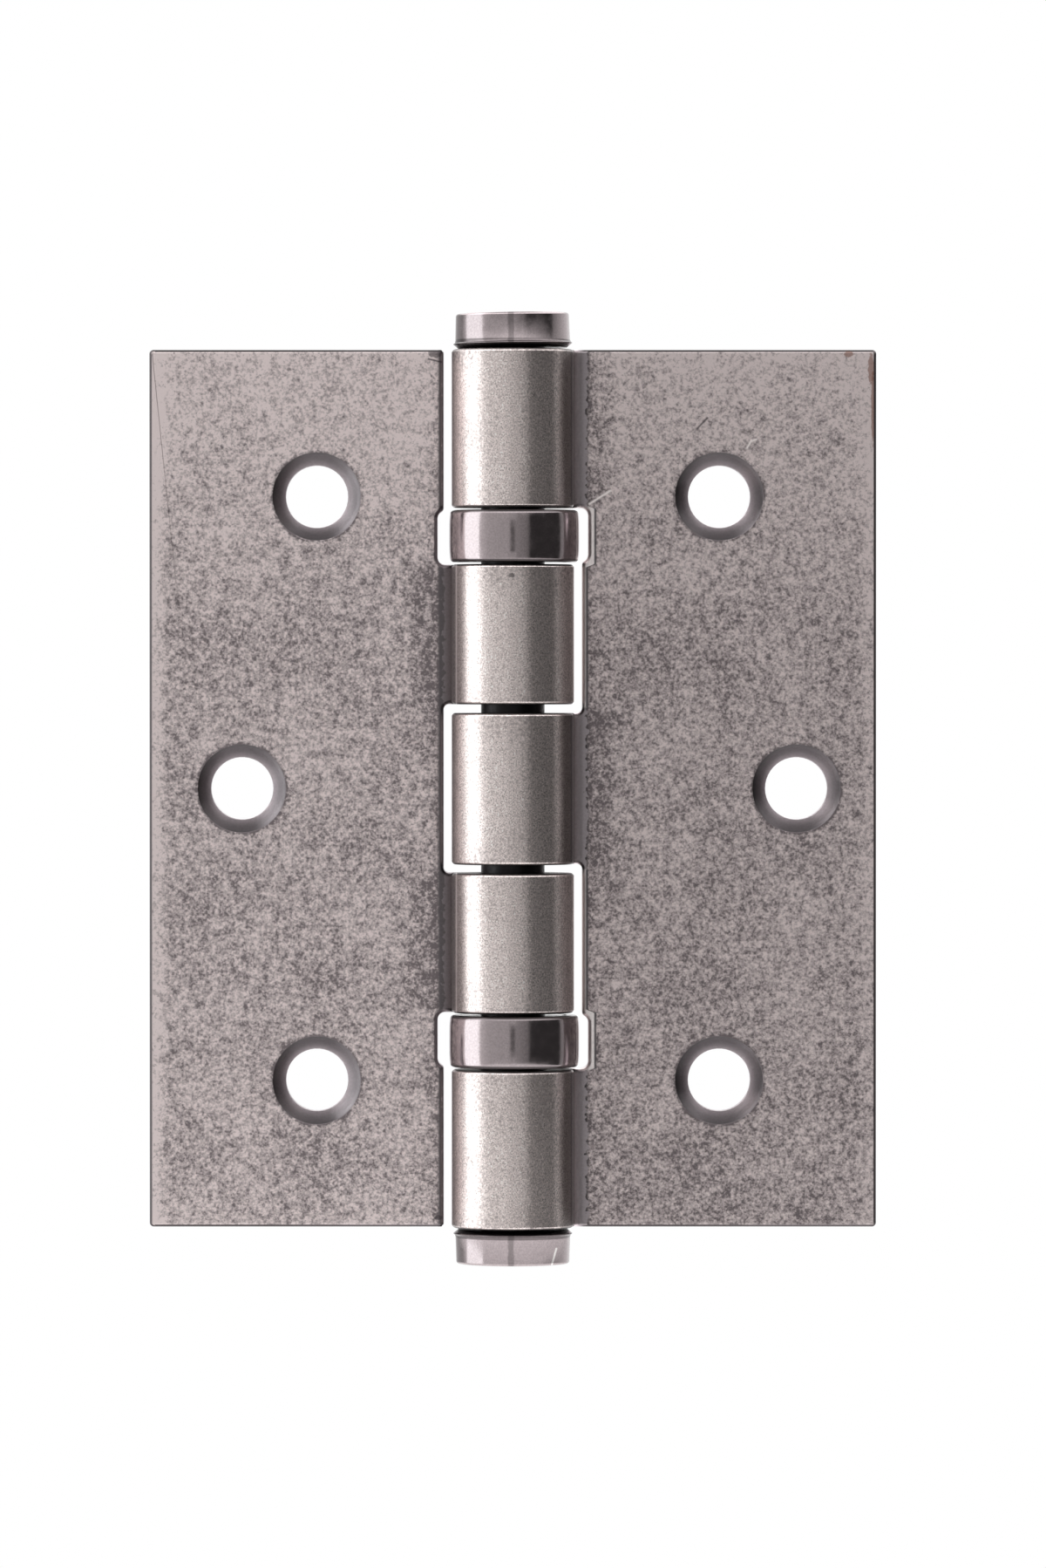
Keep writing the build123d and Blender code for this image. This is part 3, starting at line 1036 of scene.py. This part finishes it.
class HINGE_OT_tips(bpy.types.Operator):
    """Turns the button tip of each end, with its flared lip and its stem"""

    bl_idname = "hinge.tips"
    bl_label = "Button Tips"

    def execute(self, context):
        shape = context.scene.hinge_shape
        material = tip_material(context.scene.hinge_finish, scratch_group())
        low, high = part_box("top_tip")
        bottom_low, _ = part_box("bottom_tip")
        seat = leaf_high.z
        end = high.z - max(shape.tip_cap_radius * sin(shape.tip_lean), shape.tip_press)
        lip_radius = min(high.x, high.y)
        lip = seat + shape.tip_lip_height
        flare = shape.tip_flare_height
        waist = shape.tip_waist_radius
        shoulder = seat + 0.1 * mm
        axis_gap = 0.01 * mm
        corner = (shape.tip_cap_radius - shape.tip_rounding, end - shape.tip_rounding)
        outline = [
            (axis_gap, low.z),
            (shape.stem_radius - shape.stem_chamfer, low.z),
            (shape.stem_radius, low.z + shape.stem_chamfer),
            (shape.stem_radius, shoulder),
            (shape.tip_seat_radius, shoulder),
            (lip_radius - 0.03 * mm, lip - 0.04 * mm),
            (lip_radius, lip),
            (lip_radius - 0.02 * mm, lip + 0.05 * mm),
            (waist + 0.06 * mm, lip + 0.4 * flare),
            (waist, lip + flare),
            *rounded(corner, shape.tip_rounding, 0, 90),
            (axis_gap, end),
        ]
        top = turn(outline, shape.round_steps)
        activate(top)
        bpy.ops.object.shade_smooth_by_angle(angle=radians(32))
        bottom = copy_of(top, "bottom")
        tilt(bottom, pi, "X", (0, 0, 0))
        shift(bottom, (0, 0, bottom_low.z + high.z))
        tilt(top, shape.tip_lean, "Y", (0, 0, seat))
        for piece, node in ((top, "top_tip"), (bottom, "bottom_tip")):
            settle(piece, f"turned_{node}", "frame", material, "polished_plating", node)
        return {"FINISHED"}


class HINGE_OT_works(bpy.types.Operator):
    """Finishes the pin, the races, the balls and their cages"""

    bl_idname = "hinge.works"
    bl_label = "Pin and Bearings"

    def execute(self, context):
        finish = context.scene.hinge_finish
        pin = steel_material("pin_steel_dressed", finish.pin_steel, 0.3, 0.45)
        ground = steel_material("bearing_steel_dressed", finish.bearing_steel, 0.08, 0.16)
        brass = steel_material("cage_brass_dressed", finish.cage_brass, 0.25, 0.38)
        for name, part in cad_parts.items():
            if name == "hinge_pin":
                material = pin
            elif name.endswith("_cage"):
                material = brass
            elif name.endswith("_race") or "_ball_" in name:
                material = ground
            else:
                continue
            part.data.materials.clear()
            part.data.materials.append(material)
        return {"FINISHED"}


# Studio


class HINGE_OT_studio(bpy.types.Operator):
    """Sets the camera, the softbox, the surroundings and the floor"""

    bl_idname = "hinge.studio"
    bl_label = "Studio"

    def execute(self, context):
        scene = context.scene
        studio = scene.hinge_studio
        scene.view_settings.view_transform = "Standard"
        add_camera(scene, studio)
        add_softbox(scene, studio)
        light_surroundings(scene, studio)
        add_floor(studio)
        return {"FINISHED"}


def look_at(piece, target):
    """Turns a camera or a lamp to a place."""
    piece.rotation_euler = (target - piece.location).to_track_quat("-Z", "Y").to_euler()


def add_camera(scene, studio):
    """A long lens in front of the hinge, a little above its middle."""
    data = bpy.data.cameras.new("camera")
    camera = bpy.data.objects.new("camera", data)
    scene.collection.objects.link(camera)
    camera.location = (studio.aim_x, -studio.camera_distance, studio.camera_height)
    look_at(camera, Vector((studio.aim_x, 0, studio.aim_z)))
    data.lens = studio.lens
    data.sensor_width = 36
    data.clip_start = 0.05
    data.clip_end = 20
    scene.camera = camera


def add_softbox(scene, studio):
    """The tall softbox on the left, turned to the middle of the hinge."""
    data = bpy.data.lights.new("left_softbox", "AREA")
    data.shape = "RECTANGLE"
    data.size = studio.softbox_width
    data.size_y = studio.softbox_height
    data.color = studio.softbox_tint
    data.energy = studio.softbox_radiance * pi * studio.softbox_width * studio.softbox_height
    lamp = bpy.data.objects.new("left_softbox", data)
    scene.collection.objects.link(lamp)
    lamp.location = studio.softbox_place
    look_at(lamp, Vector((0, 0, 0)))
    lamp.visible_camera = False


def room_brightness():
    """Brightness of the walls, by the angle in degrees from straight in front to the right."""
    behind_on_the_left = ((-180, 1.0), (-150, 0.5), (-124, 0.36))
    left_wall = ((-110, 0.85), (-66, 0.85), (-57, 0.7), (-48, 0.57))
    left_front = ((-25, 0.52), (-8, 0.52))
    dark_bar_at_the_camera = ((-6, 0.14), (0, 0.14))
    right_front = ((2, 0.36), (24, 0.24))
    dark_right_wall = ((29, 0.04), (89, 0.04))
    behind_on_the_right = (
        (92, 0.3),
        (96, 0.34),
        (104, 0.46),
        (116, 0.64),
        (130, 0.8),
        (150, 1.0),
        (180, 1.0),
    )
    return (
        *behind_on_the_left,
        *left_wall,
        *left_front,
        *dark_bar_at_the_camera,
        *right_front,
        *dark_right_wall,
        *behind_on_the_right,
    )


def grey(level):
    """A grey of a brightness."""
    return (level, level, level)


def light_surroundings(scene, studio):
    """Grey room with a dark side for the metal to show, and plain white behind."""
    world = bpy.data.worlds.new("surroundings")
    scene.world = world
    world.use_nodes = True
    tree = world.node_tree
    tree.nodes.clear()
    towards = tree.nodes.new("ShaderNodeTexCoord").outputs["Generated"]
    across, depth, height = separate(tree, towards)
    bearing = calc(tree, "ARCTAN2", across, product(tree, depth, -1.0))
    walls = tree.nodes.new("ShaderNodeValToRGB")
    tree.links.new(spread(tree, bearing, radians(-180), radians(180), smooth=False), walls.inputs[0])
    stops = room_brightness()
    walls.color_ramp.interpolation = "LINEAR"
    while len(walls.color_ramp.elements) < len(stops):
        walls.color_ramp.elements.new(0.5)
    for element, (angle, level) in zip(walls.color_ramp.elements, stops):
        element.position = (angle + 180) / 360
        element.color = (*grey(level), 1)

    # The dark bar is only as tall as a person's reach, and the bands above and below are bright
    slant = unsigned(tree, height)
    off_bar = near(tree, total(tree, bearing, radians(3)), 0.1, 0.14)
    bare = product(tree, spread(tree, slant, 0.08, 0.12), off_bar)
    room = blend_colours(tree, bare, walls.outputs[0], grey(0.46))
    above = spread(tree, height, 0.26, 0.5)
    room = blend_colours(tree, above, room, grey(studio.ceiling_radiance))
    below = spread(tree, height, -0.5, -0.26, 1.0, 0.0)
    room = blend_colours(tree, below, room, grey(studio.ground_radiance))
    overhead = spread(tree, slant, 0.8, 0.92)
    room = blend_colours(tree, overhead, room, grey(0.8))

    seen = place(tree, "ShaderNodeBackground", Color=(1, 1, 1, 1))
    lit = place(tree, "ShaderNodeBackground", Color=room)
    to_camera = tree.nodes.new("ShaderNodeLightPath").outputs["Is Camera Ray"]
    mixed = place(tree, "ShaderNodeMixShader", _0=to_camera, _1=lit.outputs[0], _2=seen.outputs[0])
    output = tree.nodes.new("ShaderNodeOutputWorld")
    tree.links.new(mixed.outputs[0], output.inputs["Surface"])


def add_floor(studio):
    """A pale round floor that fades into the white around it."""
    deselect_all()
    bpy.ops.mesh.primitive_circle_add(
        vertices=96,
        radius=studio.floor_radius,
        fill_type="NGON",
        location=(0, 0, cad_low.z - studio.floor_drop),
    )
    floor = bpy.context.object
    floor.name = "floor"
    bpy.ops.object.transform_apply(location=True, rotation=True, scale=True)
    material, tree, shader = new_material("pale_floor")
    shader.inputs["Metallic"].default_value = 0.0
    shader.inputs["Roughness"].default_value = 0.9
    shader.inputs["Base Color"].default_value = (0.9, 0.9, 0.9, 1)
    output = next(n for n in tree.nodes if n.bl_idname == "ShaderNodeOutputMaterial")
    white = place(tree, "ShaderNodeEmission", Color=(1, 1, 1, 1))
    where = place_in_mm(tree)
    away = place(tree, "ShaderNodeVectorMath", {"operation": "LENGTH"}, Vector=where).outputs["Value"]
    fade_end = 0.9 * studio.floor_radius / mm
    fade = spread(tree, away, 0.4 * fade_end, fade_end)
    mixed = place(tree, "ShaderNodeMixShader", _0=fade, _1=shader.outputs[0], _2=white.outputs[0])
    tree.links.new(mixed.outputs[0], output.inputs["Surface"])
    floor.data.materials.append(material)


class HINGE_PT_build(bpy.types.Panel):
    """Lists what the hinge is built from"""

    bl_label = "Ball Bearing Hinge"
    bl_idname = "HINGE_PT_build"
    bl_space_type = "VIEW_3D"
    bl_region_type = "UI"
    bl_category = "Hinge"

    def draw(self, context):
        for settings in ("hinge_shape", "hinge_finish", "hinge_studio"):
            group = getattr(context.scene, settings)
            box = self.layout.box()
            for name in type(group).__annotations__:
                box.prop(group, name)
        for operator in operators:
            self.layout.operator(operator.bl_idname)


operators = (HINGE_OT_leaves, HINGE_OT_shells, HINGE_OT_tips, HINGE_OT_works, HINGE_OT_studio)
settings_groups = (HingeShape, HingeFinish, HingeStudio)


def register():
    for cls in (*settings_groups, *operators, HINGE_PT_build):
        bpy.utils.register_class(cls)
    bpy.types.Scene.hinge_shape = PointerProperty(type=HingeShape)
    bpy.types.Scene.hinge_finish = PointerProperty(type=HingeFinish)
    bpy.types.Scene.hinge_studio = PointerProperty(type=HingeStudio)


def unregister():
    del bpy.types.Scene.hinge_studio
    del bpy.types.Scene.hinge_finish
    del bpy.types.Scene.hinge_shape
    for cls in reversed((*settings_groups, *operators, HINGE_PT_build)):
        bpy.utils.unregister_class(cls)


def main():
    """Builds every piece."""
    register()
    bpy.ops.hinge.leaves()
    bpy.ops.hinge.shells()
    bpy.ops.hinge.tips()
    bpy.ops.hinge.works()
    bpy.ops.hinge.studio()


if __name__ == "__main__":
    main()
